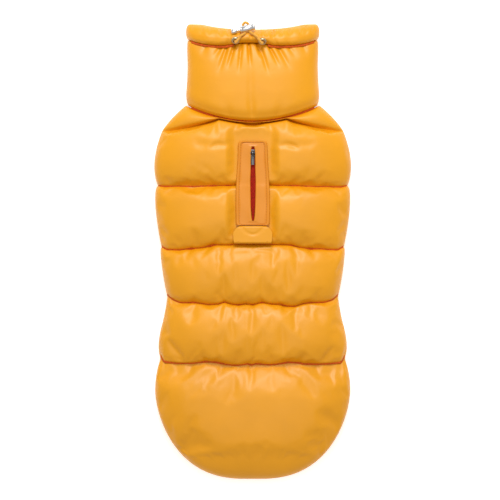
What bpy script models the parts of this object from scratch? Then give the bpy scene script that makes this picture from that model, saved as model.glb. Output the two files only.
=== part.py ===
"""Padded dog winter coat, laid flat with its back up: quilted back panel, belly panel, tall collar
with a drawcord casing, harness zip and cord lock. Metres, +Z up, +Y towards the collar."""

import math

import bmesh
import bpy
from mathutils import Matrix, Vector

COAT = "dog_winter_coat"
SEAM_GAP = 0.0003

# Back panel: its sides bulge from RIM_Z and tuck in to the floor over UNDERTUCK.
RIM_Z = 0.013
UNDERTUCK = 0.009
ROOF_POWER = 2.5
ROOF_STEPS = 20
COLLAR_POWER = 2.6
COLLAR_STEPS = 16
GROOVE = 0.0085
TAIL_END_Y = -0.2284
TAIL_WIDE_Y = -0.139
TAIL_HALF_WIDTH = 0.0978
NOSE_TUCK = 0.008

# One row for each quilted section, from the neck to the tail: the y of its upper seam at the
# panel's side, the half-width there, the widest half-width, how far down that is, as a share of
# the section, the height of the padding, and how much higher the seam lies at the middle.
SECTIONS = (
    # seam_y, seam_half, wide_half, wide_at, crown_z, seam_lift
    (0.1470, 0.0660, 0.0830, 0.60, 0.032, -0.0180),
    (0.1192, 0.0910, 0.0985, 0.56, 0.037, 0.0140),
    (0.0650, 0.0943, 0.0976, 0.30, 0.038, 0.0000),
    (0.0040, 0.0910, 0.0916, 0.30, 0.038, 0.0020),
    (-0.0450, 0.0855, 0.0940, 0.72, 0.037, -0.0075),
    (-0.1065, 0.0920, 0.0978, 0.50, 0.034, -0.0060),
)
SECTION_ROWS = (3, 6, 7, 6, 7, 4)
TAIL_ROWS = 11

# Neckline, which dips towards the tail at the middle, and the collar between it and its casing.
NECK_SIDE_Y = 0.1458
NECK_HALF_WIDTH = 0.0660
NECK_DIP = 0.0165
COLLAR_ROWS = (
    # along, half_width, top_z
    (0.00, 0.0640, 0.0300),
    (0.05, 0.0660, 0.0345),
    (0.16, 0.0665, 0.0370),
    (0.35, 0.0655, 0.0370),
    (0.60, 0.0650, 0.0355),
    (0.80, 0.0658, 0.0330),
    (0.94, 0.0658, 0.0300),
    (1.00, 0.0645, 0.0275),
)
CASING_ROWS = (
    # along, half_width, top_z
    (0.00, 0.0652, 0.0312),
    (0.14, 0.0662, 0.0338),
    (0.38, 0.0667, 0.0344),
    (0.62, 0.0666, 0.0330),
    (0.84, 0.0656, 0.0300),
    (1.00, 0.0635, 0.0260),
)
CASING_LOW_Y = 0.2040
CASING_LOW_RISE = 0.0080
CASING_TOP_Y = 0.2210
CASING_TOP_RISE = 0.0065
MOUTH_HALF_WIDTH = 0.0500
MOUTH_LOW_Z = 0.0092
MOUTH_HEIGHT = 0.0056

# Belly panel, which lies inside the back panel's sides, with its two leg holes.
BELLY_INSET = 0.0140
BELLY_THICKNESS = 0.0065
BELLY_HEM_SIDE_Y = -0.0500
BELLY_HEM_MIDDLE_Y = -0.0680
LEG_HOLE_X = 0.0450
LEG_HOLE_Y = 0.0800
LEG_HOLE_HALF_WIDTH = 0.0170
LEG_HOLE_HALF_LENGTH = 0.0270
LEG_HOLE_TURN = math.radians(12)

# Harness zip. The offsets are heights above the back panel's surface.
FRAME_ROWS = (
    # y, outer_half
    (0.1090, 0.0120),
    (0.1065, 0.0142),
    (0.0900, 0.0150),
    (0.0720, 0.0162),
    (0.0620, 0.0168),
    (0.0450, 0.0170),
    (0.0290, 0.0168),
    (0.0255, 0.0166),
)
SLIT_ROWS = (
    # y, half_width
    (0.1036, 0.0012),
    (0.1010, 0.0027),
    (0.0900, 0.0027),
    (0.0700, 0.0026),
    (0.0500, 0.0024),
    (0.0340, 0.0016),
    (0.0300, 0.0008),
)
PATCH_ROWS = (
    # y, half_width
    (0.0248, 0.0130),
    (0.0225, 0.0168),
    (0.0180, 0.0195),
    (0.0120, 0.0192),
    (0.0075, 0.0184),
)
FRAME_OFFSETS = (0.0005, 0.0023)
PATCH_OFFSETS = (0.0005, 0.0027)
POCKET_OFFSETS = (-0.0024, 0.0100)
TAPE_OFFSETS = (-0.0020, -0.0012)
CHAIN_OFFSETS = (-0.0009, 0.0004)
POCKET_HALF_WIDTH = 0.0078
TAPE_HALF_WIDTH = 0.0074
CHAIN_HALF_WIDTH = 0.0013
POCKET_Y = (0.1050, 0.0285)
CHAIN_Y = (0.0930, 0.0310)
SLIDER_Y = (0.1010, 0.0934)
SLIDER_HALF_WIDTH = 0.0022
SLIDER_THICKNESS = 0.0030
PULL_AXIS_Y = 0.0975
PULL_AXIS_RISE = 0.0014
PULL_LENGTH = 0.0120
PULL_WIDTH = 0.0034
PULL_THICKNESS = 0.0009
EYE_RADIUS = 0.0010
EYE_HOLE = 0.0007
PIN_RADIUS = 0.0004

# Eyelets, cord lock and drawcord at the collar's mouth.
EYELETS = (("eyelet_left", -0.0171, 0.2092), ("eyelet_right", 0.0096, 0.2083))
EYELET_OUTER = 0.0042
EYELET_HOLE = 0.0022
EYELET_THICKNESS = 0.0009
LOCK_X, LOCK_Y = -0.0053, 0.2217
LOCK_TURN = math.radians(13.3)
LOCK_Z = 0.0345
LOCK_LENGTH = 0.0152
LOCK_RADIUS = 0.0033
CORD_HOLE = (-0.0052, 0.0032)
CORD_HOLE_HEIGHT = 0.0033
STEM_BORE_DEPTH = 0.0021
STEM_BORE_RADIUS = 0.0015
STEM_RADIUS = 0.0012
STEM_TIP = -0.0073
KNOB_ENDS = (-0.0164, -0.0109)
KNOB_RADIUS = 0.0026
CORD_RADIUS = 0.0013
CORD_LEFT, CORD_RIGHT = -0.0037, 0.0017


def clear_scene():
    for obj in list(bpy.data.objects):
        bpy.data.objects.remove(obj, do_unlink=True)


def new_collection(name, hidden=False):
    collection = bpy.data.collections.new(name)
    bpy.context.scene.collection.children.link(collection)
    collection.hide_render = hidden
    return collection


def make_material(name, color, roughness, metallic=0.0):
    material = bpy.data.materials.new(name)
    material.use_nodes = True
    shader = material.node_tree.nodes["Principled BSDF"]
    shader.inputs["Base Color"].default_value = (*color, 1.0)
    shader.inputs["Roughness"].default_value = roughness
    shader.inputs["Metallic"].default_value = metallic
    material.diffuse_color = (*color, 1.0)
    return material


def mesh_object(name, bm, material=None):
    """Puts a bmesh in the scene as an object, with its faces turned out."""
    bmesh.ops.recalc_face_normals(bm, faces=bm.faces[:])
    mesh = bpy.data.meshes.new(name)
    bm.to_mesh(mesh)
    bm.free()
    mesh.shade_smooth()
    mesh.set_sharp_from_angle(angle=math.radians(40))
    obj = bpy.data.objects.new(name, mesh)
    if material is None:
        obj.hide_render = True
        obj.display_type = "WIRE"
        bpy.data.collections["cutters"].objects.link(obj)
    else:
        mesh.materials.append(material)
        bpy.data.collections[COAT].objects.link(obj)
    return obj


def cut(obj, cutter):
    modifier = obj.modifiers.new("cut_" + cutter.name, "BOOLEAN")
    modifier.operation = "DIFFERENCE"
    modifier.object = cutter
    modifier.solver = "EXACT"


def unite(obj, other):
    modifier = obj.modifiers.new("join_" + other.name, "BOOLEAN")
    modifier.operation = "UNION"
    modifier.object = other
    modifier.solver = "EXACT"


def bridge(bm, first, second):
    count = len(first)
    for i in range(count):
        j = (i + 1) % count
        bm.faces.new((first[i], first[j], second[j], second[i]))


def close_end(bm, ring, flat_sides):
    """Faces across the end of a ring, between its top and the underside point below each."""
    count = len(ring)
    last = count // 2 - 1 if flat_sides else count // 2
    back = 1 if flat_sides else 0
    for i in range(last):
        corners = [ring[i], ring[i + 1], ring[(-i - 1 - back) % count], ring[(-i - back) % count]]
        bm.faces.new(list(dict.fromkeys(corners)))


def loft(name, rings, material=None, inner=None, flat_sides=False):
    """Closed solid through rings of equally many points, or a tube if inner rings are given."""
    bm = bmesh.new()
    outside = [[bm.verts.new(point) for point in ring] for ring in rings]
    for first, second in zip(outside, outside[1:]):
        bridge(bm, first, second)
    if inner is None:
        for ring in (outside[0], outside[-1]):
            close_end(bm, ring, flat_sides)
    else:
        inside = [[bm.verts.new(point) for point in ring] for ring in inner]
        for first, second in zip(inside, inside[1:]):
            bridge(bm, first, second)
        bridge(bm, outside[0], inside[0])
        bridge(bm, outside[-1], inside[-1])
    return mesh_object(name, bm, material)


def cross_section(half, power, steps, top, under, place):
    """Ring over the top from +X to -X and back underneath, through the same x both ways."""
    shares = []
    for i in range(steps + 1):
        cosine = math.cos(math.pi * i / steps)
        shares.append(math.copysign(abs(cosine) ** (2.0 / power), cosine))
    over = [(half * share, place(half * share), top(half * share)) for share in shares]
    below = [(half * share, place(half * share), under(half * share)) for share in shares[1:-1]]
    return over + below[::-1]


def tucked_under(half, tuck, floor, rim):
    """Underside that is level at floor and rises round the sides to rim."""

    def height(x):
        share = min(max((abs(x) - (half - tuck)) / tuck, 0.0), 1.0)
        return floor + (rim - floor) * (1.0 - math.sqrt(1.0 - share * share))

    return height


def smooth_step(value):
    t = min(max(value, 0.0), 1.0)
    return t * t * (3.0 - 2.0 * t)


def between(rows, key, columns):
    """Linear reading of a table whose first column falls or rises steadily."""
    ordered = sorted(rows)
    if key <= ordered[0][0]:
        return ordered[0][1 : 1 + columns]
    for low, high in zip(ordered, ordered[1:]):
        if key <= high[0]:
            t = (key - low[0]) / (high[0] - low[0])
            return tuple(a + (b - a) * t for a, b in zip(low[1:], high[1:]))[:columns]
    return ordered[-1][1 : 1 + columns]


# ---- back panel form -------------------------------------------------------------------------


def tail_width(y):
    """Half-width of the rounded tail below its widest place."""
    share = min((TAIL_WIDE_Y - y) / (TAIL_WIDE_Y - TAIL_END_Y), 1.0)
    return TAIL_HALF_WIDTH * (1.0 - share**1.7) ** 0.37


def half_width(y):
    """Half-width of the back panel's outline at y."""
    if y < TAIL_WIDE_Y:
        return tail_width(y)
    lowers = [(row[0], row[1]) for row in SECTIONS[1:]] + [(TAIL_WIDE_Y, TAIL_HALF_WIDTH)]
    for (top_y, top_half, wide_half, wide_at, _, _), (low_y, low_half) in zip(SECTIONS, lowers):
        if y >= low_y:
            break
    t = min(max((top_y - y) / (top_y - low_y), 0.0), 1.0)
    straight = top_half + (low_half - top_half) * t
    if low_y == TAIL_WIDE_Y:
        return straight + 0.0015 * math.sin(math.pi * t)
    bulge = wide_half - (top_half + (low_half - top_half) * wide_at)
    place = t ** (math.log(0.5) / math.log(wide_at))
    return straight + bulge * max(math.sin(math.pi * place), 0.0) ** 0.7


def seam_y(index, across):
    """y of a section's upper seam, at across = x / half-width."""
    row = SECTIONS[index]
    return row[0] + row[5] * (1.0 - min(abs(across), 1.0) ** 2)


def puff(across, y):
    """(fullness, crown height): 0 on a seam and 1 at the middle of a section."""
    last = len(SECTIONS) - 1
    index = 0
    while index < last and y < seam_y(index + 1, across):
        index += 1
    top_y = seam_y(index, across)
    if index == last:
        fullness = smooth_step((top_y - y) / 0.022) if y < top_y else 0.0
    else:
        low_y = seam_y(index + 1, across)
        t = min(max((top_y - y) / max(top_y - low_y, 0.004), 0.0), 1.0)
        fullness = (4.0 * t * (1.0 - t)) ** 0.5
    return fullness, SECTIONS[index][4]


def zip_flatness(x, y):
    """1 over the zip frame and its patch, which hold the panel level, down to 0 beside them."""
    beside = 1.0 - smooth_step((abs(x) - 0.023) / 0.012)
    along = smooth_step((0.126 - y) / 0.012) * smooth_step((y + 0.004) / 0.010)
    return beside * along


def roof_height(across, y, half):
    """Height of the back panel's upper surface at across = x / half-width."""
    fullness, crown = puff(across, y)
    level = zip_flatness(across * half, y)
    fullness = fullness * (1.0 - level) + 0.62 * level
    rise = crown - RIM_Z - GROOVE * (1.0 - fullness)
    if y < TAIL_WIDE_Y:
        share = min((TAIL_WIDE_Y - y) / (TAIL_WIDE_Y - TAIL_END_Y), 1.0)
        rise *= (1.0 - share**2.6) ** 0.55
    return rise


def panel_top(x, y, half=None):
    half = half or half_width(y)
    across = min(abs(x) / half, 1.0)
    roof = (1.0 - across**ROOF_POWER) ** (1.0 / ROOF_POWER)
    return RIM_Z + roof_height(across, y, half) * roof


def row_lift(side_y):
    """How much higher a cross-section runs at its middle: it follows the neckline or its seams."""
    lifts = [(row[0], row[5]) for row in SECTIONS[2:]] + [(TAIL_WIDE_Y, 0.0)]
    lifts += [(SECTIONS[1][0], 0.0), (NECK_SIDE_Y, -NECK_DIP)]
    return between(lifts, side_y, 1)[0]


def row_shift(x, side_y, half):
    return row_lift(side_y) * (1.0 - min(abs(x) / half, 1.0) ** 2)


def back_ring(side_y):
    """Cross-section of the back panel whose two ends lie at side_y."""
    half = half_width(side_y)
    nose = smooth_step((TAIL_END_Y + NOSE_TUCK - side_y) / NOSE_TUCK)
    floor = (RIM_Z - 0.004) * nose * nose
    under = tucked_under(half, min(UNDERTUCK, half * 0.4), floor, RIM_Z)

    def place(x):
        return side_y + row_shift(x, side_y, half)

    def top(x):
        return panel_top(x, place(x), half)

    return cross_section(half, ROOF_POWER, ROOF_STEPS, top, under, place)


def back_rows():
    """Side y of every cross-section, closer together where the panel closes at the tail."""
    rows = [NECK_SIDE_Y - SEAM_GAP]
    tops = [row[0] for row in SECTIONS] + [TAIL_WIDE_Y]
    tops[0] = rows[0]
    for top_y, low_y, count in zip(tops, tops[1:], SECTION_ROWS):
        rows += [top_y + (low_y - top_y) * (i + 1) / count for i in range(count)]
    for i in range(1, TAIL_ROWS + 1):
        share = math.sin(0.5 * math.pi * i / TAIL_ROWS)
        rows.append(TAIL_WIDE_Y + (TAIL_END_Y + 0.0004 - TAIL_WIDE_Y) * share)
    return rows


# ---- flat outlines ---------------------------------------------------------------------------


def prism(name, outline, low_z, high_z, material=None):
    bm = bmesh.new()
    face = bm.faces.new([bm.verts.new((x, y, low_z)) for x, y in outline])
    raised = bmesh.ops.extrude_face_region(bm, geom=[face])["geom"]
    moved = [item for item in raised if isinstance(item, bmesh.types.BMVert)]
    bmesh.ops.translate(bm, verts=moved, vec=(0.0, 0.0, high_z - low_z))
    return mesh_object(name, bm, material)


def belly_outline(grow, neck_grow):
    """Counter-clockwise outline of the belly panel, widened by grow and longer at the neck."""
    inset = BELLY_INSET - grow
    rows = [NECK_SIDE_Y - 0.0075 - i * 0.0085 for i in range(23)]
    rows = [y for y in rows if y > BELLY_HEM_SIDE_Y + 0.004] + [BELLY_HEM_SIDE_Y - grow]
    left = [(-(half_width(y) - inset), y) for y in rows]
    hem = []
    for i in range(1, 8):
        across = -1.0 + 2.0 * i / 8.0
        x = across * (half_width(BELLY_HEM_SIDE_Y) - inset)
        drop = (BELLY_HEM_MIDDLE_Y - BELLY_HEM_SIDE_Y) * (1.0 - across * across)
        hem.append((x, BELLY_HEM_SIDE_Y - grow + drop))
    right = [(-x, y) for x, y in reversed(left)]
    neck = []
    for i in range(1, 10):
        across = 1.0 - 2.0 * i / 10.0
        x = across * left[0][0] * -1.0
        shift = row_shift(x, NECK_SIDE_Y, NECK_HALF_WIDTH)
        neck.append((x, NECK_SIDE_Y - 2.0 * SEAM_GAP + shift + neck_grow))
    return left + hem + right + neck


def leg_hole_outline(side):
    points = []
    for i in range(24):
        angle = 2.0 * math.pi * i / 24
        u = LEG_HOLE_HALF_WIDTH * math.cos(angle)
        v = LEG_HOLE_HALF_LENGTH * math.sin(angle)
        turn = -side * LEG_HOLE_TURN
        x = side * LEG_HOLE_X + u * math.cos(turn) - v * math.sin(turn)
        points.append((x, LEG_HOLE_Y + u * math.sin(turn) + v * math.cos(turn)))
    return points


# ---- strips that follow the back panel -------------------------------------------------------


def strip(name, rows, offsets, material=None, columns=6, puffed=0.0):
    """Solid between two heights above the back panel; rows hold y and a half-width."""
    rings = []
    for y, half in rows:
        over, under = [], []
        for i in range(columns + 1):
            across = 1.0 - 2.0 * i / columns
            x = across * half
            swell = puffed * (1.0 - across * across)
            over.append((x, y, panel_top(x, y) + offsets[1] + swell))
            under.append((x, y, panel_top(x, y) + offsets[0]))
        rings.append(over + under[::-1])
    return loft(name, rings, material, flat_sides=True)


def even_rows(ends, half, count):
    return [(ends[0] + (ends[1] - ends[0]) * i / count, half) for i in range(count + 1)]


def finer(rows, pieces):
    """The same table with each gap between its rows cut into equal pieces."""
    found = [rows[0]]
    for first, second in zip(rows, rows[1:]):
        for i in range(1, pieces + 1):
            found.append(tuple(a + (b - a) * i / pieces for a, b in zip(first, second)))
    return found


# ---- collar ----------------------------------------------------------------------------------


def neckline(x):
    return NECK_SIDE_Y + row_shift(x, NECK_SIDE_Y, NECK_HALF_WIDTH)


def casing_low(x):
    return CASING_LOW_Y + CASING_LOW_RISE * (min(abs(x), NECK_HALF_WIDTH) / NECK_HALF_WIDTH) ** 5


def casing_top(x):
    return CASING_TOP_Y + CASING_TOP_RISE * (min(abs(x), NECK_HALF_WIDTH) / NECK_HALF_WIDTH) ** 2


def collar_roof(half, top_z, x):
    across = min(abs(x) / half, 1.0)
    return RIM_Z + (top_z - RIM_Z) * (1.0 - across**COLLAR_POWER) ** (1.0 / COLLAR_POWER)


def tube_ring(half, top_z, place):
    """Flattened cross-section of the collar: rounded over the top and sides, level below."""

    def top(x):
        return collar_roof(half, top_z, x)

    under = tucked_under(half, UNDERTUCK, 0.0, RIM_Z)
    return cross_section(half, COLLAR_POWER, COLLAR_STEPS, top, under, place)


def mouth_ring(place):
    """Cross-section of the opening inside the collar, point for point with tube_ring."""
    middle = MOUTH_LOW_Z + 0.5 * MOUTH_HEIGHT

    def reach(x):
        return 0.5 * MOUTH_HEIGHT * min(1.0, 12.0 * (1.0 - abs(x) / MOUTH_HALF_WIDTH))

    def top(x):
        return middle + reach(x)

    def under(x):
        return middle - reach(x)

    return cross_section(MOUTH_HALF_WIDTH, COLLAR_POWER, COLLAR_STEPS, top, under, place)


def band(name, table, low, high, material):
    """Tube between two curves across the collar, with a row of the table for each ring."""
    outer, inner = [], []
    for along, half, top_z in table:

        def place(x, along=along):
            return low(x) + (high(x) - low(x)) * along

        outer.append(tube_ring(half, top_z, place))
        inner.append(mouth_ring(place))
    return loft(name, outer, material, inner)


def band_top(table, low, high, x, y):
    """Height of a band's upper surface at (x, y)."""
    along = (y - low(x)) / (high(x) - low(x))
    half, top_z = between(table, along, 2)
    return collar_roof(half, top_z, x)


# ---- pieces ----------------------------------------------------------------------------------


def make_back_panel(cloth):
    panel = loft("back_panel", [back_ring(y) for y in back_rows()], cloth)
    recess = prism("belly_recess", belly_outline(SEAM_GAP, 0.006), -0.004, BELLY_THICKNESS + SEAM_GAP)
    cut(panel, recess)
    pocket_rows = even_rows(POCKET_Y, POCKET_HALF_WIDTH, 8)
    cut(panel, strip("zip_pocket", pocket_rows, POCKET_OFFSETS, columns=4))
    return panel


def make_belly_panel(cloth):
    belly = prism("belly_panel", belly_outline(0.0, 0.0), 0.0, BELLY_THICKNESS, cloth)
    for name, side in (("leg_hole_left", -1.0), ("leg_hole_right", 1.0)):
        cut(belly, prism(name, leg_hole_outline(side), -0.004, 0.012))
    return belly


def make_collar(cloth):
    def low(x):
        return neckline(x) + SEAM_GAP

    def high(x):
        return casing_low(x) - SEAM_GAP

    return band("collar", COLLAR_ROWS, low, high, cloth)


def make_casing(cloth):
    return band("collar_casing", CASING_ROWS, casing_low, casing_top, cloth)


def make_zip(cloth, tape, metal):
    frame = strip("zip_frame", finer(FRAME_ROWS, 2), FRAME_OFFSETS, cloth, columns=8)
    cut(frame, strip("zip_slit", SLIT_ROWS, (-0.004, 0.012), columns=2))
    strip("zip_patch", finer(PATCH_ROWS, 2), PATCH_OFFSETS, cloth, columns=8, puffed=0.0008)
    strip("zip_tape", even_rows((0.1045, 0.0290), TAPE_HALF_WIDTH, 8), TAPE_OFFSETS, tape)
    strip("zip_chain", even_rows(CHAIN_Y, CHAIN_HALF_WIDTH, 8), CHAIN_OFFSETS, tape, columns=2)
    make_slider(metal)
    make_pull_tab(metal)


def slider_base_z():
    return panel_top(0.0, PULL_AXIS_Y) + TAPE_OFFSETS[1] + SEAM_GAP


def pull_axis():
    return Vector((0.0, PULL_AXIS_Y, slider_base_z() + SLIDER_THICKNESS + PULL_AXIS_RISE))


def box(name, low, high, material=None):
    bm = bmesh.new()
    bmesh.ops.create_cube(bm, size=1.0)
    size = Vector(high) - Vector(low)
    bmesh.ops.scale(bm, vec=size, verts=bm.verts[:])
    bmesh.ops.translate(bm, vec=Vector(low) + 0.5 * size, verts=bm.verts[:])
    return mesh_object(name, bm, material)


def cylinder(name, start, end, radius, material=None, sides=16):
    """Round bar between two points."""
    start, end = Vector(start), Vector(end)
    axis = end - start
    bm = bmesh.new()
    bmesh.ops.create_cone(
        bm, cap_ends=True, segments=sides, radius1=radius, radius2=radius, depth=axis.length
    )
    turn = Vector((0.0, 0.0, 1.0)).rotation_difference(axis).to_matrix().to_4x4()
    bmesh.ops.transform(bm, matrix=Matrix.Translation(0.5 * (start + end)) @ turn, verts=bm.verts[:])
    return mesh_object(name, bm, material)


def make_slider(metal):
    base = slider_base_z()
    body = box(
        "zip_slider",
        (-SLIDER_HALF_WIDTH, SLIDER_Y[1], base),
        (SLIDER_HALF_WIDTH, SLIDER_Y[0], base + SLIDER_THICKNESS),
        metal,
    )
    axis = pull_axis()
    for side in (-1.0, 1.0):
        ends = sorted((side * 0.0015, side * (SLIDER_HALF_WIDTH + 0.0001)))
        low = (ends[0], axis.y - 0.0009, base + SLIDER_THICKNESS - 0.0005)
        high = (ends[1], axis.y + 0.0009, axis.z + 0.0008)
        unite(body, box("slider_ear_%d" % (side > 0.0), low, high))
    reach = Vector((0.0018, 0.0, 0.0))
    unite(body, cylinder("slider_pin", axis - reach, axis + reach, PIN_RADIUS, sides=12))
    return body


def make_pull_tab(metal):
    """Pull tab with its eye round the slider's pin, hanging down the zip."""
    axis = pull_axis()
    reach = Vector((0.0011, 0.0, 0.0))
    tab = cylinder("zip_pull_tab", axis - reach, axis + reach, EYE_RADIUS, metal, sides=16)
    low_z = axis.z - PULL_THICKNESS
    neck = box("pull_neck", (-0.0011, axis.y - 0.0045, low_z), (0.0011, axis.y - 0.0004, axis.z))
    half = 0.5 * PULL_WIDTH
    end = axis.y - PULL_LENGTH
    blade = box("pull_blade", (-half, end, low_z), (half, axis.y - 0.0042, axis.z))
    unite(tab, neck)
    unite(tab, blade)
    bore = Vector((0.0030, 0.0, 0.0))
    cut(tab, cylinder("pull_eye", axis - bore, axis + bore, EYE_HOLE, sides=12))
    return tab


def casing_height(x, y):
    return band_top(CASING_ROWS, casing_low, casing_top, x, y)


def eyelet_seat(x, y):
    """(point, direction) of an eyelet: just above the casing, facing away from it."""
    step = 0.003
    slope = (casing_height(x, y + step) - casing_height(x, y - step)) / (2.0 * step)
    normal = Vector((0.0, -slope, 1.0)).normalized()
    return Vector((x, y, casing_height(x, y))) + 0.0004 * normal, normal


def make_eyelets(metal):
    profile = (
        (EYELET_HOLE, 0.0),
        (EYELET_OUTER, 0.0),
        (EYELET_OUTER - 0.0006, EYELET_THICKNESS),
        (EYELET_HOLE + 0.0006, EYELET_THICKNESS),
    )
    sides = 20
    for name, x, y in EYELETS:
        bm = bmesh.new()
        loops = []
        for i in range(sides):
            angle = 2.0 * math.pi * i / sides
            around = (math.cos(angle), math.sin(angle))
            loops.append([bm.verts.new((r * around[0], r * around[1], z)) for r, z in profile])
        for first, second in zip(loops, loops[1:] + loops[:1]):
            bridge(bm, first, second)
        place, normal = eyelet_seat(x, y)
        turn = Vector((0.0, 0.0, 1.0)).rotation_difference(normal).to_matrix().to_4x4()
        bmesh.ops.transform(bm, matrix=Matrix.Translation(place) @ turn, verts=bm.verts[:])
        mesh_object(name, bm, metal)


def lock_point(along, across=0.0, rise=0.0):
    """Point in the cord lock's own directions: along its barrel, across it and up."""
    cos, sin = math.cos(LOCK_TURN), math.sin(LOCK_TURN)
    x = LOCK_X + along * cos - across * sin
    y = LOCK_Y + along * sin + across * cos
    return Vector((x, y, LOCK_Z + rise))


def make_cord_lock(metal):
    half = 0.5 * LOCK_LENGTH
    barrel = cylinder("cord_lock_barrel", lock_point(-half), lock_point(half), LOCK_RADIUS, metal, 24)
    bm = bmesh.new()
    bmesh.ops.create_cube(bm, size=1.0)
    size = (CORD_HOLE[1] - CORD_HOLE[0], 4.0 * LOCK_RADIUS, CORD_HOLE_HEIGHT)
    bmesh.ops.scale(bm, vec=size, verts=bm.verts[:])
    middle = lock_point(0.5 * (CORD_HOLE[0] + CORD_HOLE[1]))
    place = Matrix.Translation(middle) @ Matrix.Rotation(LOCK_TURN, 4, "Z")
    bmesh.ops.transform(bm, matrix=place, verts=bm.verts[:])
    cut(barrel, mesh_object("cord_way", bm))
    bore_end = lock_point(-half + STEM_BORE_DEPTH)
    cut(barrel, cylinder("stem_bore", lock_point(-half - 0.002), bore_end, STEM_BORE_RADIUS))
    knob = cylinder(
        "cord_lock_plunger", lock_point(KNOB_ENDS[0]), lock_point(KNOB_ENDS[1]), KNOB_RADIUS, metal, 20
    )
    stem = cylinder("plunger_stem", lock_point(KNOB_ENDS[1] - 0.001), lock_point(STEM_TIP), STEM_RADIUS)
    unite(knob, stem)


def smooth_route(points, per_gap):
    """Catmull-Rom curve through the route's own points."""
    ends = [points[0] * 2.0 - points[1]] + points + [points[-1] * 2.0 - points[-2]]
    route = []
    for a, b, c, d in zip(ends, ends[1:], ends[2:], ends[3:]):
        for i in range(per_gap):
            t = i / per_gap
            route.append(
                0.5
                * (
                    2.0 * b
                    + (c - a) * t
                    + (2.0 * a - 5.0 * b + 4.0 * c - d) * t * t
                    + (3.0 * b - a - 3.0 * c + d) * t**3
                )
            )
    return route + [points[-1]]


def cord_points():
    """Up from the left eyelet, through the lock, round above it and down to the right eyelet."""
    (left, left_up), (right, right_up) = [eyelet_seat(x, y) for _, x, y in EYELETS]
    return [
        left + 0.0010 * left_up,
        left + 0.0034 * left_up + Vector((0.0004, 0.0004, 0.0)),
        Vector((left.x + 0.0052, left.y + 0.0046, LOCK_Z + 0.0026)),
        lock_point(CORD_LEFT, -0.0045),
        lock_point(CORD_LEFT, 0.0),
        lock_point(CORD_LEFT, 0.0036),
        lock_point(0.5 * (CORD_LEFT + CORD_RIGHT), 0.0058),
        lock_point(CORD_RIGHT, 0.0036),
        lock_point(CORD_RIGHT, 0.0),
        lock_point(CORD_RIGHT, -0.0045),
        Vector((right.x - 0.0060, right.y + 0.0052, LOCK_Z + 0.0026)),
        right + 0.0034 * right_up + Vector((-0.0004, 0.0004, 0.0)),
        right + 0.0010 * right_up,
    ]


def make_drawcord(material):
    route = smooth_route(cord_points(), 2)
    curve = bpy.data.curves.new("drawcord", "CURVE")
    curve.dimensions = "3D"
    spline = curve.splines.new("POLY")
    spline.points.add(len(route) - 1)
    for point, place in zip(spline.points, route):
        point.co = (*place, 1.0)
    curve.bevel_depth = CORD_RADIUS
    curve.bevel_resolution = 2
    curve.use_fill_caps = True
    curve.materials.append(material)
    obj = bpy.data.objects.new("drawcord", curve)
    bpy.data.collections[COAT].objects.link(obj)


def main():
    clear_scene()
    new_collection(COAT)
    new_collection("cutters", hidden=True)
    cloth = make_material("orange_nylon", (0.86, 0.38, 0.03), 0.38)
    lining = make_material("orange_belly_nylon", (0.80, 0.34, 0.03), 0.5)
    tape = make_material("dark_red_tape", (0.20, 0.012, 0.012), 0.7)
    cord = make_material("orange_cord", (0.84, 0.40, 0.06), 0.7)
    steel = make_material("polished_steel", (0.72, 0.72, 0.74), 0.2, 1.0)
    brass = make_material("antique_brass", (0.42, 0.31, 0.16), 0.35, 1.0)
    dark = make_material("gunmetal", (0.08, 0.06, 0.06), 0.35, 1.0)
    make_back_panel(cloth)
    make_belly_panel(lining)
    make_collar(cloth)
    make_casing(cloth)
    make_zip(cloth, tape, dark)
    make_eyelets(brass)
    make_cord_lock(steel)
    make_drawcord(cord)


main()
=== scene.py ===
"""Looks of the padded dog coat, laid flat with its back up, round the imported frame.
Metres, +Z up, +Y towards the collar. Outlines repeat the CAD's own sizes and tables."""

import math

import bmesh
import bpy
import numpy as np
from mathutils import Matrix, Vector


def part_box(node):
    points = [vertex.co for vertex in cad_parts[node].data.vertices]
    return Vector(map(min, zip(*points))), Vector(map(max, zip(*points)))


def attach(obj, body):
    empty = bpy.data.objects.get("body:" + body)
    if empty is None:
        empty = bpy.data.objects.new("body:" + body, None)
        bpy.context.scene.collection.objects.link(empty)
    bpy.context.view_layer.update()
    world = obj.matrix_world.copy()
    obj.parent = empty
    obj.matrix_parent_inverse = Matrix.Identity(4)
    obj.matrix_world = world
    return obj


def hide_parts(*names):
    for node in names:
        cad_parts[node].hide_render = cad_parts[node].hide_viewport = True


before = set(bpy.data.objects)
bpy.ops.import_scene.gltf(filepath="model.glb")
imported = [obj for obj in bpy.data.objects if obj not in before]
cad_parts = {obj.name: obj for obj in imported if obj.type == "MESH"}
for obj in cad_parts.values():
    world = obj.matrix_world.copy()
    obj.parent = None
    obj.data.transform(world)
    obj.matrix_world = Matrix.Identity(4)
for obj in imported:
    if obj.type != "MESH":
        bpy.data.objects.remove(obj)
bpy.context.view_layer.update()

MM = 0.001

# ---- sizes shared with the CAD ----

BELLY_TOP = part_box("belly_panel")[1][2]

RIM_Z = 0.013
UNDERTUCK = 0.009
ROOF_POWER = 2.5
COLLAR_POWER = 2.6
GROOVE = 0.0130
TAIL_END_Y = -0.2284
TAIL_WIDE_Y = -0.139
TAIL_HALF_WIDTH = 0.0978

# One row for each quilted section, from the neck to the tail.
SECTIONS = (
    # seam_y, seam_half, wide_half, wide_at, crown_z, rows
    (0.1470, 0.0660, 0.0830, 0.60, 0.0325, 9),
    (0.1192, 0.0910, 0.0985, 0.56, 0.0375, 24),
    (0.0650, 0.0943, 0.0976, 0.30, 0.0380, 26),
    (0.0040, 0.0910, 0.0916, 0.30, 0.0380, 23),
    (-0.0450, 0.0855, 0.0940, 0.72, 0.0375, 27),
    (-0.1065, 0.0920, 0.0978, 0.50, 0.0350, 46),
)

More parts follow.
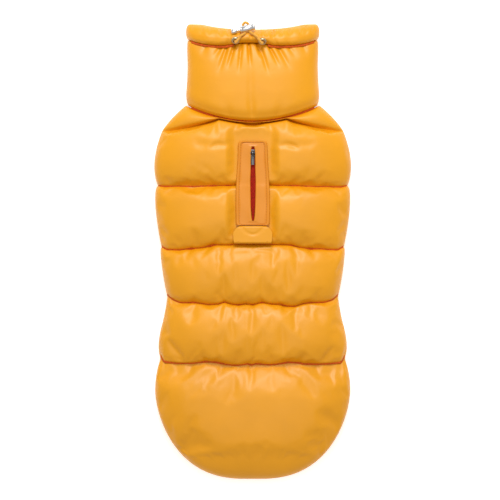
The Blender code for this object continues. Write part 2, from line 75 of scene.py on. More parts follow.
NECK_SIDE_Y = 0.1458
NECK_HALF_WIDTH = 0.0660
NECK_DIP = 0.0165


def smooth_step(value):
    t = np.clip(value, 0.0, 1.0)
    return t * t * (3.0 - 2.0 * t)


def half_width(y):
    """Half-width of the back panel's outline at y."""
    if y < TAIL_WIDE_Y:
        share = min((TAIL_WIDE_Y - y) / (TAIL_WIDE_Y - TAIL_END_Y), 1.0)
        return TAIL_HALF_WIDTH * (1.0 - share**1.7) ** 0.37
    lowers = [(row[0], row[1]) for row in SECTIONS[1:]] + [(TAIL_WIDE_Y, TAIL_HALF_WIDTH)]
    for (top_y, top_half, wide_half, wide_at, _, _), (low_y, low_half) in zip(SECTIONS, lowers):
        if y >= low_y:
            break
    t = min(max((top_y - y) / (top_y - low_y), 0.0), 1.0)
    straight = top_half + (low_half - top_half) * t
    if low_y == TAIL_WIDE_Y:
        return straight + 0.0015 * math.sin(math.pi * t)
    bulge = wide_half - (top_half + (low_half - top_half) * wide_at)
    place = t ** (math.log(0.5) / math.log(wide_at))
    return straight + bulge * max(math.sin(math.pi * place), 0.0) ** 0.7


def neckline(x):
    across = np.minimum(np.abs(x) / NECK_HALF_WIDTH, 1.0)
    return NECK_SIDE_Y - NECK_DIP * (1.0 - across**2)


# ---- quilting seams ----

# Where each quilting seam runs across the back, in millimetres: uneven where it gathers the
# cloth, its ends turned up to the notches in the outline.
SEAM_COURSES = {
    1: ((-91, 119.4), (-84, 119.6), (-63, 123.6), (-47, 127.4), (-36, 131.0), (-30, 135.0),
        (30, 135.0), (36, 131.0), (47, 127.4), (64, 123.4), (84, 119.8), (91, 119.4)),
    2: ((-94.5, 65.4), (-88, 64.6), (-60, 64.4), (-40, 65.0), (-17, 65.6), (17, 65.6),
        (42, 65.0), (64, 64.2), (88, 64.0), (94.5, 65.4)),
    3: ((-91, 5.0), (-86, 1.4), (-74, 1.3), (-60, 2.6), (-50, 3.6), (-39, 6.0), (-22, 6.2),
        (-17, 7.4), (17, 7.4), (20, 6.2), (36, 6.0), (46, 3.9), (56, 2.4), (70, 1.8), (85, 1.2),
        (91, 5.0)),
    4: ((-85.5, -43.0), (-81, -47.5), (-73, -51.2), (-58, -51.4), (-44, -53.0), (-33, -52.6),
        (-28.7, -50.4), (-22, -52.6), (-14.7, -53.8), (-6, -52.6), (0, -53.6), (6, -52.0),
        (10, -51.2), (19, -52.6), (28, -53.0), (34, -54.8), (43, -55.2), (50, -52.6),
        (57, -51.6), (72, -50.8), (80, -48.4), (85.5, -43.0)),
    5: ((-92, -104.6), (-89, -110.6), (-76, -111.6), (-60, -111.4), (-46, -110.0), (-37, -110.6),
        (-27, -112.6), (-18, -113.4), (-9, -112.9), (-5, -111.6), (-1.7, -113.8), (3, -111.8),
        (10, -112.6), (18, -113.0), (27, -112.0), (36, -110.7), (46, -111.2), (50, -112.4),
        (62, -112.6), (76, -112.2), (89, -111.2), (92, -104.6)),
}

PUCKER_DEPTH = 1.3

# Soft troughs where the cloth pinches at a seam: millimetres, from the seam outwards.
PUCKERS = (
    # x, y, to_x, to_y, width, depth
    (-29, -51, -33, -43, 2.2, 1.5),
    (-29, -52, -34, -62, 2.4, 1.1),
    (-14, -54, -10, -45, 2.6, 1),
    (-14.5, -54, -19, -62, 2.4, 0.8),
    (0, -53.5, -2, -61, 2, 0.9),
    (9.5, -51.5, 6.5, -43, 2.4, 1.3),
    (9.5, -52.5, 13, -60, 2.2, 0.9),
    (30, -54, 34, -63, 2.6, 1.5),
    (43, -55, 37, -45, 3, 0.9),
    (56, -51.6, 61, -60, 3, 0.7),
    (-56, -51.6, -61, -61, 3.2, 0.7),
    (-60, -51.6, -55, -42, 3.2, 0.6),
    (66, -51.2, 61, -41, 3, 0.6),
    (-46, -110, -54, -99, 3.2, 1.4),
    (-36, -110.7, -31, -101, 2.6, 0.8),
    (-18, -113.4, -12, -103, 2.8, 0.9),
    (-2, -113.5, 0.5, -104, 1.8, 1),
    (-2, -113.5, -4.5, -120, 1.8, 1.2),
    (2.5, -112, 5, -119, 1.8, 0.9),
    (19, -113, 15, -104, 2.6, 0.7),
    (46.5, -111.2, 53, -99, 3.2, 1.4),
    (-60, -111.4, -64, -122, 3.4, 0.7),
    (-30, -112.3, -34, -121, 3.2, 0.5),
    (32, -111.6, 37, -121, 3.2, 0.5),
    (62, -112.6, 67, -123, 3.4, 0.7),
    (-60, 2.6, -70, -9, 4, 1.5),
    (-39, 5.8, -56, -7, 3.4, 1.3),
    (-20, 6.2, -25, -2, 2.6, 0.6),
    (36, 5.8, 52, -6, 3.4, 1.2),
    (56, 2.4, 66, -9, 4, 1.5),
    (20, 6.2, 26, -2, 2.6, 0.6),
    (-60, 2.6, -54, 12, 3, 0.6),
    (56, 2.4, 50, 12, 3, 0.6),
    (-38, 6, -33, 14, 2.6, 0.6),
    (38, 6, 33, 14, 2.6, 0.6),
    (-40, 65, -47, 56, 3.6, 0.5),
    (-22, 65.4, -30, 58, 3, 0.5),
    (-24, 65.4, -34, 76, 3.4, 0.7),
    (-38, 65, -50, 74, 3.4, 0.6),
    (24, 65.4, 34, 76, 3.4, 0.7),
    (38, 65, 50, 74, 3.4, 0.6),
    (42, 65, 48, 56, 3.6, 0.5),
    (-41, 103.6, -17.5, 107.6, 2.2, 2.6),
    (-56, 105.6, -36, 103.4, 4, 1),
    (44, 103.6, 17.5, 107.6, 2.2, 2.6),
    (60, 106, 38, 103.4, 4, 1),
    (-40, 129, -52, 116, 5, 1.2),
    (40, 129, 52, 116, 5, 1.2),
    (-14, 127, -24, 114, 4, 0.9),
    (15, 127, 25, 114, 4, 0.9),
)


def course(points, x):
    """Smooth curve through a seam's points, all in metres."""
    knots = np.array(points) * MM
    fine = np.linspace(-0.1, 0.1, 801)
    level = np.interp(fine, knots[:, 0], knots[:, 1])
    window = np.exp(-0.5 * (np.arange(-14, 15) * 0.25 / 0.9) ** 2)
    padded_level = np.pad(level, 14, mode="edge")
    level = np.convolve(padded_level, window / window.sum(), mode="valid")
    return np.interp(x, fine, level)


def seam_course(index, x):
    """y of a section's upper seam at x: the neckline for the first section."""
    if index == 0:
        return neckline(x) - 0.0005
    y = course(SEAM_COURSES[index], x)
    if index == 1:
        y = np.minimum(y, neckline(x) - 0.0016)
    return y


def troughs(x, y, table):
    """Depth, in metres, of a table of soft troughs at every (x, y)."""
    total = np.zeros_like(x)
    for x0, y0, x1, y1, width, depth in table:
        start = np.array((x0, y0)) * MM
        run = np.array((x1, y1)) * MM - start
        length = np.hypot(*run)
        along = ((x - start[0]) * run[0] + (y - start[1]) * run[1]) / length**2
        aside = ((x - start[0]) * run[1] - (y - start[1]) * run[0]) / length
        fade = smooth_step((along + 0.15) / 0.3) * smooth_step((1.0 - along) / 0.8)
        wide = width * MM * (0.6 + 0.6 * np.clip(along, 0.0, 1.0))
        total += depth * MM * fade * np.exp(-((aside / wide) ** 2))
    return total


# ---- surface of the back panel ----


def zip_level(x, y):
    """1 where the zip frame and its patch hold the panel level, down to 0 beside them."""
    beside = 1.0 - smooth_step((np.abs(x) - 0.0175) / 0.010)
    along = smooth_step((0.126 - y) / 0.012) * smooth_step((y + 0.004) / 0.010)
    return beside * along


def tail_fall(y):
    share = np.clip((TAIL_WIDE_Y - y) / (TAIL_WIDE_Y - TAIL_END_Y), 0.0, 1.0)
    return (1.0 - share**2.6) ** 0.55


def roof(across, power):
    return (1.0 - np.minimum(np.abs(across), 1.0) ** power) ** (1.0 / power)


def level_top(x, y):
    """Height that the zip frame and its patch follow."""
    across = np.abs(x) / half_width(y)
    index = sum(y < row[0] for row in SECTIONS[1:])
    crown = SECTIONS[index][4] if y < 0.1192 else 0.0375
    rise = crown - RIM_Z - 0.0085 * 0.38
    return RIM_Z + rise * roof(across, ROOF_POWER)


def even_shares(count, aspect, power):
    """Shares of the half-width, evenly spaced along a rounded roof of that height to half-width."""
    angle = np.linspace(0.0, math.pi, 2000)
    x = np.sign(np.cos(angle)) * np.abs(np.cos(angle)) ** (2.0 / power)
    z = aspect * np.sin(angle) ** (2.0 / power)
    length = np.concatenate([[0.0], np.cumsum(np.hypot(np.diff(x), np.diff(z)))])
    return np.interp(np.linspace(0.0, length[-1], count), length, x)


# ---- small helpers ----


def mesh_piece(name, points, faces, smooth_angle=60.0):
    mesh = bpy.data.meshes.new(name)
    mesh.from_pydata([tuple(map(float, point)) for point in points], [], faces)
    mesh.validate()
    piece = bpy.data.objects.new(name, mesh)
    bpy.context.collection.objects.link(piece)
    bm = bmesh.new()
    bm.from_mesh(mesh)
    bmesh.ops.recalc_face_normals(bm, faces=bm.faces[:])
    bm.to_mesh(mesh)
    bm.free()
    mesh.shade_smooth()
    mesh.set_sharp_from_angle(angle=math.radians(smooth_angle))
    return piece


def grid_faces(rows, columns, wrap_rows=False, wrap_columns=False, start=0):
    faces = []
    for r in range(rows if wrap_rows else rows - 1):
        for c in range(columns if wrap_columns else columns - 1):
            r2, c2 = (r + 1) % rows, (c + 1) % columns
            corners = (r * columns + c, r * columns + c2, r2 * columns + c2, r2 * columns + c)
            faces.append(tuple(start + corner for corner in corners))
    return faces


def apply_modifiers(piece):
    bpy.context.view_layer.update()
    graph = bpy.context.evaluated_depsgraph_get()
    mesh = bpy.data.meshes.new_from_object(piece.evaluated_get(graph))
    piece.modifiers.clear()
    old = piece.data
    piece.data = mesh
    bpy.data.meshes.remove(old)


def subdivide(piece, levels=1):
    modifier = piece.modifiers.new("fine", "SUBSURF")
    modifier.levels = levels
    modifier.render_levels = levels
    apply_modifiers(piece)


def boolean(piece, cutter, operation="DIFFERENCE"):
    modifier = piece.modifiers.new("cut", "BOOLEAN")
    modifier.operation = operation
    modifier.object = cutter
    modifier.solver = "EXACT"
    apply_modifiers(piece)
    bpy.data.objects.remove(cutter, do_unlink=True)


def finish_piece(piece, material, body, slot, *nodes):
    piece.data.materials.clear()
    piece.data.materials.append(material)
    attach(piece, body)
    if nodes:
        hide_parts(*nodes)
    return piece


# ---- materials ----


class Nodes:
    """Short way to build a material's nodes."""

    def __init__(self, name):
        self.material = bpy.data.materials.new(name)
        self.material.use_nodes = True
        self.tree = self.material.node_tree
        self.shader = self.tree.nodes["Principled BSDF"]

    def add(self, kind, **values):
        node = self.tree.nodes.new(kind)
        for key, value in values.items():
            if key in node.inputs:
                node.inputs[key].default_value = value
            else:
                setattr(node, key, value)
        return node

    def link(self, source, target):
        self.tree.links.new(source, target)

    def noise(self, scale, detail=3.0, rough=0.5, stretch=None):
        node = self.add("ShaderNodeTexNoise", Scale=scale, Detail=detail, Roughness=rough)
        source = self.add("ShaderNodeTexCoord").outputs["Object"]
        if stretch is not None:
            mapping = self.add("ShaderNodeMapping")
            mapping.inputs["Scale"].default_value = stretch
            self.link(source, mapping.inputs["Vector"])
            source = mapping.outputs["Vector"]
        self.link(source, node.inputs["Vector"])
        return node.outputs["Fac"]

    def wave(self, scale, direction, distortion=0.0):
        node = self.add("ShaderNodeTexWave", Scale=scale, Distortion=distortion)
        node.bands_direction = direction
        node.inputs["Detail"].default_value = 1.0
        self.link(self.add("ShaderNodeTexCoord").outputs["Object"], node.inputs["Vector"])
        return node.outputs["Fac"]

    def math(self, operation, first, second):
        node = self.add("ShaderNodeMath", operation=operation)
        for socket, value in zip(node.inputs, (first, second)):
            if isinstance(value, (int, float)):
                socket.default_value = value
            else:
                self.link(value, socket)
        return node.outputs[0]

    def ramp(self, factor, *stops):
        node = self.add("ShaderNodeValToRGB")
        while len(node.color_ramp.elements) < len(stops):
            node.color_ramp.elements.new(0.5)
        for element, (place, color) in zip(node.color_ramp.elements, stops):
            element.position = place
            element.color = (*color, 1.0)
        self.link(factor, node.inputs["Fac"])
        return node.outputs["Color"]

    def bump(self, height, strength, distance, below=None):
        node = self.add("ShaderNodeBump", Strength=strength, Distance=distance)
        self.link(height, node.inputs["Height"])
        if below is not None:
            self.link(below, node.inputs["Normal"])
        return node.outputs["Normal"]

    def set(self, **values):
        for key, value in values.items():
            self.shader.inputs[key.replace("_", " ")].default_value = value
        return self.material


def shade(color, factor):
    return tuple(channel * factor for channel in color)


def nylon(name, color, roughness=0.42, weave_scale=2600.0):
    """Coated nylon: fine plain weave, faint crinkle and slight unevenness of its coating."""
    nodes = Nodes(name)
    cloudy = nodes.noise(26.0, 4.0, 0.6)
    tone = nodes.ramp(cloudy, (0.30, shade(color, 0.955)), (0.70, shade(color, 1.03)))
    nodes.link(tone, nodes.shader.inputs["Base Color"])
    patchy = nodes.noise(60.0, 3.0, 0.6)
    rough = nodes.math("MULTIPLY_ADD", patchy, 0.16)
    rough.node.inputs[2].default_value = roughness - 0.08
    nodes.link(rough, nodes.shader.inputs["Roughness"])
    crinkle = nodes.noise(210.0, 4.0, 0.55)
    creased = nodes.bump(crinkle, 0.12, 0.0008)
    across, along = nodes.wave(weave_scale / 6.283, "X"), nodes.wave(weave_scale / 6.283, "Y")
    threads = nodes.math("MULTIPLY", across, along)
    woven = nodes.bump(threads, 0.05, 0.00012, creased)
    nodes.link(woven, nodes.shader.inputs["Normal"])
    return nodes.set(Specular_IOR_Level=0.42)


def metal(name, color, roughness, wear):
    """Plated metal with fine handling scratches and duller patches."""
    nodes = Nodes(name)
    cloudy = nodes.noise(900.0, 3.0, 0.6)
    tone = nodes.ramp(cloudy, (0.35, shade(color, 1.0 - wear)), (0.65, color))
    nodes.link(tone, nodes.shader.inputs["Base Color"])
    rough = nodes.math("MULTIPLY_ADD", nodes.noise(1500.0, 2.0), 0.2)
    rough.node.inputs[2].default_value = roughness - 0.1
    nodes.link(rough, nodes.shader.inputs["Roughness"])
    scratched = nodes.bump(nodes.noise(700.0, 4.0, 0.7, (1.0, 9.0, 1.0)), 0.06, 0.0001)
    nodes.link(scratched, nodes.shader.inputs["Normal"])
    return nodes.set(Metallic=1.0)


def thread(name, color, pitch=900.0, roughness=0.7, sheen=0.2):
    """Twisted or braided yarn."""
    nodes = Nodes(name)
    cloudy = nodes.noise(400.0, 3.0)
    tone = nodes.ramp(cloudy, (0.3, shade(color, 0.82)), (0.7, shade(color, 1.08)))
    nodes.link(tone, nodes.shader.inputs["Base Color"])
    crossing = nodes.math("MULTIPLY", nodes.wave(pitch, "DIAGONAL"), nodes.wave(pitch, "Y"))
    nodes.link(nodes.bump(crossing, 0.5, 0.0003), nodes.shader.inputs["Normal"])
    return nodes.set(Roughness=roughness, Sheen_Weight=sheen, Specular_IOR_Level=0.2)


ORANGE = (0.760, 0.310, 0.0020)
FRAME_ORANGE = (0.700, 0.240, 0.0100)
SEAM_THREAD = (0.560, 0.170, 0.012)
# Painted shade: red-orange for thin rolls that stand in for the reddened shadow in the seams' folds.
PAINTED_SEAM_SHADE = (0.660, 0.100, 0.008)


# ---- back panel ----

PANEL_COLUMNS = 83
BAND_ANGLES = (22.0, 45.0, 68.0, 90.0)


def section_spacing(count, tail):
    """Shares down a section, closer together next to its seams."""
    s = np.linspace(0.0, 1.0, count + 1)
    if tail:
        return np.sin(0.5 * math.pi * s) * 0.75 + 0.25 * (1.0 - np.cos(0.5 * math.pi * s))
    return 0.55 * 0.5 * (1.0 - np.cos(math.pi * s)) + 0.45 * s


def panel_rows():
    """Points of the upper surface, row by row, and which rows are seams."""
    shares = even_shares(PANEL_COLUMNS, 0.25, ROOF_POWER)
    rows, seams = [], []
    last = len(SECTIONS) - 1
    for index, (_, _, _, _, crown, count) in enumerate(SECTIONS):
        spacing = section_spacing(count, index == last)
        for step, t in enumerate(spacing):
            if step == 0 and index > 0:
                continue
            rows.append(panel_row(index, t, crown, shares))
            if t in (0.0, 1.0):
                seams.append(len(rows) - 1)
    return np.array(rows), seams


def panel_row(index, t, crown, shares):
    """One row of the upper surface, at a share t of the way down a section."""
    last = len(SECTIONS) - 1
    side_top = NECK_SIDE_Y if index == 0 else SEAM_COURSES[index][0][1] * MM
    side_low = TAIL_END_Y if index == last else SEAM_COURSES[index + 1][0][1] * MM
    side_y = side_top + (side_low - side_top) * t
    if index == last and t == 1.0:
        half = 0.0125
    else:
        half = max(half_width(side_y), 0.0125)
    x = half * shares
    top = seam_course(index, x)
    low = np.full_like(x, TAIL_END_Y) if index == last else seam_course(index + 1, x)
    if index == last:
        low = low - 0.0001 + 0.0016 * (x / 0.0978) ** 2
    y = top + (low - top) * t
    if index == last:
        ends = smooth_step((np.abs(shares) - 0.80) / 0.20)
        y = y + (side_y - y) * ends
        full = smooth_step(min((side_top - side_y) / 0.030, 1.0)) ** 0.42
    else:
        full = (4.0 * t * (1.0 - t)) ** 0.40
    level = zip_level(x, y)
    fullness = full * (1.0 - level) + np.minimum(full, 0.60) * level
    rise = (crown - RIM_Z - GROOVE * (1.0 - fullness)) * tail_fall(y)
    if index == 0:
        rise = rise * (1.0 - 0.10 * (1.0 - t))
    z = RIM_Z + rise * roof(shares, ROOF_POWER)
    return np.stack([x, y, z], axis=1)


def round_outline(rows):
    """Indices and inward tucks of the loop round the whole upper surface."""
    count, columns = rows.shape[:2]
    right = [(r, 0, UNDERTUCK) for r in range(1, count - 1)]
    tail = [(count - 1, c, UNDERTUCK) for c in range(columns)]
    left = [(r, columns - 1, UNDERTUCK) for r in range(count - 2, 0, -1)]
    neck = [(0, c, 0.0) for c in range(columns - 1, -1, -1)]
    return right + tail + left + neck


def panel_shell():
    """Open shell of the back panel: the upper surface and the band that tucks under it."""
    rows, seams = panel_rows()
    count, columns = rows.shape[:2]
    points = [tuple(point) for row in rows for point in row]
    faces = grid_faces(count, columns)
    loop = round_outline(rows)
    edge = np.array([rows[r, c] for r, c, _ in loop])
    tucks = np.array([tuck for _, _, tuck in loop])
    ahead, behind = np.roll(edge, -1, axis=0), np.roll(edge, 1, axis=0)
    run = (ahead - behind)[:, :2]
    inward = np.stack([run[:, 1], -run[:, 0]], axis=1)
    inward /= np.maximum(np.hypot(inward[:, 0], inward[:, 1]), 1e-9)[:, None]
    middle = np.array((0.0, 0.0))
    if ((middle - edge[len(edge) // 4, :2]) * inward[len(edge) // 4]).sum() < 0.0:
        inward = -inward
    previous = [r * columns + c for r, c, _ in loop]
    for degrees in BAND_ANGLES:
        turn = math.radians(degrees)
        shift = inward * (tucks * (1.0 - math.cos(turn)))[:, None]
        z = edge[:, 2] * (1.0 - math.sin(turn))
        start = len(points)
        points += [(p[0] + s[0], p[1] + s[1], h) for p, s, h in zip(edge, shift, z)]
        current = list(range(start, start + len(loop)))
        for i in range(len(loop)):
            j = (i + 1) % len(loop)
            faces.append((previous[i], previous[j], current[j], current[i]))
        previous = current
    return points, faces, rows, seams, count * columns


def crease_panel(points, upper_count):
    """Sinks the listed puckers into the upper surface."""
    upper = points[:upper_count]
    near_side = np.clip((upper[:, 2] - RIM_Z) / 0.010, 0.0, 1.0)
    upper[:, 2] -= PUCKER_DEPTH * troughs(upper[:, 0], upper[:, 1], PUCKERS) * near_side
    return points


def inflate(piece, held, frames, shrink, pressure, cap):
    """Blender's cloth with the seams held: the cloth between them swells and puckers."""
    group = piece.vertex_groups.new(name="held")
    for weight in sorted(set(np.round(held, 2))):
        if weight > 0.0:
            chosen = np.nonzero(np.round(held, 2) == weight)[0].tolist()
            group.add(chosen, float(weight), "REPLACE")
    base = np.array([vertex.co for vertex in piece.data.vertices])
    cloth = piece.modifiers.new("cloth", "CLOTH")
    settings = cloth.settings
    settings.quality = 6
    settings.mass = 0.12
    settings.air_damping = 4.0
    settings.tension_stiffness = 12.0
    settings.compression_stiffness = 12.0
    settings.shear_stiffness = 6.0
    settings.bending_stiffness = 0.25
    settings.tension_damping = 12.0
    settings.compression_damping = 12.0
    settings.shear_damping = 8.0
    settings.shrink_min = shrink
    settings.use_pressure = True
    settings.uniform_pressure_force = pressure
    settings.vertex_group_mass = "held"
    settings.pin_stiffness = 1.0
    settings.effector_weights.gravity = 0.0
    cloth.collision_settings.use_collision = False
    cloth.collision_settings.use_self_collision = False
    cloth.point_cache.frame_start = 1
    cloth.point_cache.frame_end = frames
    scene = bpy.context.scene
    for number in range(1, frames + 1):
        scene.frame_set(number)
    apply_modifiers(piece)
    scene.frame_set(1)
    swollen = np.array([vertex.co for vertex in piece.data.vertices])
    moved = swollen - base
    far = np.linalg.norm(moved, axis=1, keepdims=True)
    moved *= np.minimum(1.0, cap / np.maximum(far, 1e-9))
    piece.data.vertices.foreach_set("co", (base + moved).ravel())
    piece.data.update()
    piece.vertex_groups.clear()


def close_underneath(piece):
    """Fills the level underside inside the floor loop."""
    bm = bmesh.new()
    bm.from_mesh(piece.data)
    open_edges = [edge for edge in bm.edges if edge.is_boundary]
    bmesh.ops.holes_fill(bm, edges=open_edges, sides=0)
    bmesh.ops.recalc_face_normals(bm, faces=bm.faces[:])
    bm.to_mesh(piece.data)
    bm.free()


def object_from(bm, name):
    mesh = bpy.data.meshes.new(name)
    bm.to_mesh(mesh)
    bm.free()
    piece = bpy.data.objects.new(name, mesh)
    bpy.context.collection.objects.link(piece)
    return piece


def prism(name, outline, low_z, high_z):
    bm = bmesh.new()
    face = bm.faces.new([bm.verts.new((x, y, low_z)) for x, y in outline])
    raised = bmesh.ops.extrude_face_region(bm, geom=[face])["geom"]
    moved = [item for item in raised if isinstance(item, bmesh.types.BMVert)]
    bmesh.ops.translate(bm, verts=moved, vec=(0.0, 0.0, high_z - low_z))
    bmesh.ops.recalc_face_normals(bm, faces=bm.faces[:])
    return object_from(bm, name)


BELLY_INSET = 0.0140
BELLY_HEM_SIDE_Y = -0.0500
BELLY_HEM_MIDDLE_Y = -0.0680


def belly_outline(grow, neck_grow, step=0.0042):
    """Outline of the belly panel, widened by grow and longer at the neck."""
    inset = BELLY_INSET - grow
    rows = np.arange(NECK_SIDE_Y - 0.0075, BELLY_HEM_SIDE_Y + 0.002, -step).tolist()
    rows.append(BELLY_HEM_SIDE_Y - grow)
    left = [(-(half_width(y) - inset), y) for y in rows]
    hem = []
    for across in np.linspace(-1.0, 1.0, 25)[1:-1]:
        x = across * (half_width(BELLY_HEM_SIDE_Y) - inset)
        drop = (BELLY_HEM_MIDDLE_Y - BELLY_HEM_SIDE_Y) * (1.0 - across * across)
        hem.append((x, BELLY_HEM_SIDE_Y - grow + drop))
    right = [(-x, y) for x, y in reversed(left)]
    neck = []
    for across in np.linspace(1.0, -1.0, 31)[1:-1]:
        x = -across * left[0][0]
        neck.append((x, float(neckline(x)) - 0.0008 + neck_grow))
    return left + hem + right + neck


def make_back_panel(cloth):
    points, faces, rows, seams, upper_count = panel_shell()
    points = crease_panel(np.array(points), upper_count)
    piece = mesh_piece("quilted_back", points, faces)
    held = np.ones(len(points))
    count, columns = rows.shape[:2]
    across = np.abs(np.linspace(-1.0, 1.0, columns))
    for r in range(count):
        nearest = min(abs(r - seam) for seam in seams)
        free = 0.0 if nearest > 0 and seams[1] < r < count - 2 else 1.0
        for c in range(columns):
            index = r * columns + c
            x, y = points[index, 0], points[index, 1]
            side = smooth_step((across[c] - 0.90) / 0.10)
            level = float(zip_level(x, y)) ** 3
            tail = smooth_step((TAIL_END_Y + 0.034 - y) / 0.034)
            held[index] = max(free, side, level, tail)
    inflate(piece, held, frames=18, shrink=-0.020, pressure=1.5, cap=0.0030)
    subdivide(piece)
    close_underneath(piece)
    boolean(piece, prism("recess", belly_outline(0.0004, 0.008), -0.006, BELLY_TOP + 0.0004))
    cut_zip_pocket(piece)
    piece.data.shade_smooth()
    piece.data.set_sharp_from_angle(angle=math.radians(70))
    finish_piece(piece, cloth, "coat", "shell_nylon", "back_panel")
    # Painted shade: red-orange rolls along the lower four quilting seams and the collar's edges stand
    # in for the reddened shadow in those folds.
    lines = [row[2:-2] for row in rows[seams[2:-1]]]
    lines += edge_lines()
    yarn = thread("painted_seam_shade_yarn", PAINTED_SEAM_SHADE, sheen=0.0)
    make_painted_seam_shade("painted_seam_shade_rolls", yarn, lines, 0.0012, 0.0010)
    return piece


# ---- strips that follow the zip's level ground ----


def table_at(table, key, column):
    """Linear reading of a table by its first column."""
    ordered = sorted(table)
    return np.interp(key, [row[0] for row in ordered], [row[column] for row in ordered])


def strip(name, table, low, high, rows=40, columns=8, puffed=0.0, ripple=None):
    """Solid band between two heights above the back, its width read from a table."""
    ys = np.linspace(table[0][0], table[-1][0], rows)
    points = []
    for y in ys:
        half = float(table_at(table, y, 1))
        x = np.linspace(half, -half, columns + 1)
        ground = level_top(x, y)
        swell = puffed * (1.0 - (x / half) ** 2)
        extra = 0.0 if ripple is None else ripple(x, y)
        over = np.stack([x, np.full_like(x, y), ground + high + swell + extra], axis=1)
        under = np.stack([x, np.full_like(x, y), ground + low], axis=1)
        points += over.tolist() + under[::-1].tolist()
    around = 2 * (columns + 1)
    faces = grid_faces(rows, around, wrap_columns=True)
    faces.append(tuple(range(around - 1, -1, -1)))
    faces.append(tuple(range((rows - 1) * around, rows * around)))
    return mesh_piece(name, points, faces, 40.0)


def capsules(name, ends, radius, sides=6):
    """Short stitches, each a small pointed roll between two points."""
    points, faces = [], []
    for start, end in ends:
        start, end = np.array(start), np.array(end)
        run = end - start
        side = np.cross(run, (0.0, 0.0, 1.0))
        side /= max(np.linalg.norm(side), 1e-9)
        up = np.cross(side, run)
        up /= max(np.linalg.norm(up), 1e-9)
        first = len(points)
        for share, size in ((0.0, 0.35), (0.2, 1.0), (0.8, 1.0), (1.0, 0.35)):
            for i in range(sides):
                angle = 2.0 * math.pi * i / sides
                offset = side * math.cos(angle) + up * math.sin(angle)
                points.append(start + run * share + offset * radius * size)
        faces += grid_faces(4, sides, wrap_columns=True, start=first)
        faces.append(tuple(range(first + sides - 1, first - 1, -1)))
        faces.append(tuple(range(first + 3 * sides, first + 4 * sides)))
    return mesh_piece(name, points, faces)


def stitch_run(path, pitch, length):
    """Ends of evenly spaced stitches along a path."""
    path = np.array(path)
    gaps = np.linalg.norm(np.diff(path, axis=0), axis=1)
    along = np.concatenate([[0.0], np.cumsum(gaps)])
    starts = np.arange(0.5 * pitch, along[-1] - length, pitch)

    def at(distance):
        return [float(np.interp(distance, along, path[:, axis])) for axis in range(3)]

    return [(at(start), at(start + length)) for start in starts]


def on_level(x, y, rise):
    return (x, y, float(level_top(np.array([x]), y)[0]) + rise)


# ---- zip ----

FRAME_ROWS = ((0.1090, 0.0120), (0.1080, 0.0137), (0.1060, 0.0145), (0.0900, 0.0150),
              (0.0720, 0.0162), (0.0620, 0.0168), (0.0450, 0.0170), (0.0290, 0.0168),
              (0.0255, 0.0166))
SLIT_ROWS = ((0.1036, 0.0009), (0.1010, 0.0016), (0.0900, 0.0019), (0.0700, 0.0025),
             (0.0600, 0.0024), (0.0450, 0.0021), (0.0340, 0.0013), (0.0300, 0.0006))
PATCH_ROWS = ((0.0248, 0.0130), (0.0225, 0.0168), (0.0180, 0.0195), (0.0120, 0.0192),
              (0.0075, 0.0184))
TAPE_OFFSETS = (-0.0020, -0.0012)
FRAME_PROFILE = (
    # share from the slit to the edge, height above the ground
    (0.00, 0.0009), (0.03, 0.0019), (0.10, 0.0022), (0.22, 0.0017), (0.45, 0.0015),
    (0.66, 0.0015), (0.72, 0.0014), (0.765, 0.0011), (0.81, 0.0015), (0.86, 0.0021),
    (0.92, 0.0023), (0.97, 0.0018), (1.00, 0.0006),
)
ZIP_X = 0.0003


def frame_loops():
    """Matching points of the frame's outer edge and of its slit, all the way round."""
    outer, inner = [], []
    top, low = FRAME_ROWS[0][0], FRAME_ROWS[-1][0]
    slit_top, slit_low = SLIT_ROWS[0][0], SLIT_ROWS[-1][0]
    down = np.concatenate([np.linspace(0.0, 0.06, 8), np.linspace(0.09, 1.0, 34)])
    for side, shares in ((1.0, down), (-1.0, down[::-1])):
        for share in shares:
            y = top + (low - top) * share
            slit_y = slit_top + (slit_low - slit_top) * share
            outer.append((side * float(table_at(FRAME_ROWS, y, 1)), y))
            inner.append((side * float(table_at(SLIT_ROWS, slit_y, 1)) + ZIP_X, slit_y))
        end_y, end_slit, half = (low, slit_low, 0.0166) if side > 0.0 else (top, slit_top, 0.012)
        for across in np.linspace(1.0, -1.0, 13)[1:-1]:
            outer.append((side * across * half, end_y))
            inner.append((side * across * 0.0007 + ZIP_X, end_slit))
    return np.array(outer), np.array(inner)


def make_zip_frame(cloth):
    outer, inner = frame_loops()
    profile = list(FRAME_PROFILE) + [(1.0, 0.0005), (0.0, 0.0005)]
    points = []
    for share, rise in profile:
        flat = inner + (outer - inner) * share
        for x, y in flat:
            wave = 0.00025 * math.sin(210.0 * y + 2.0 * math.sin(90.0 * x)) * (rise > 0.0014)
            points.append(on_level(x, y, rise + wave))
    faces = grid_faces(len(profile), len(outer), wrap_rows=True, wrap_columns=True)
    piece = mesh_piece("zip_placket", points, faces, 50.0)
    subdivide(piece)
    finish_piece(piece, cloth, "coat", "frame_nylon", "zip_frame")
    return piece


def make_zip_patch(cloth):
    def creased(x, y):
        fold = 0.0007 * np.exp(-(((y - 0.0165 - 1.2 * x * x / 0.02) / 0.0016) ** 2))
        edge = smooth_step((0.0248 - y) / 0.0016) * smooth_step((y - 0.0075) / 0.0014)
        return (edge - 1.0) * 0.0012 - fold

    piece = strip("patch_below_zip", PATCH_ROWS, 0.0005, 0.0024, 36, 20, 0.0009, creased)
    finish_piece(piece, cloth, "coat", "shell_nylon", "zip_patch")
    return piece


def make_zip_stitches(yarn):
    """Topstitching inside the frame's border and across the patch."""
    outer, inner = frame_loops()
    ring = inner + (outer - inner) * 0.768
    path = [on_level(x, y, 0.0013) for x, y in ring]
    ends = stitch_run(path + path[:1], 0.0026, 0.0018)
    hem = [on_level(x, 0.0094, 0.0027) for x in np.linspace(-0.0165, 0.0165, 12)]
    ends += stitch_run(hem, 0.0026, 0.0018)
    finish_piece(capsules("zip_topstitching", ends, 0.00022), yarn, "coat", "frame_nylon")


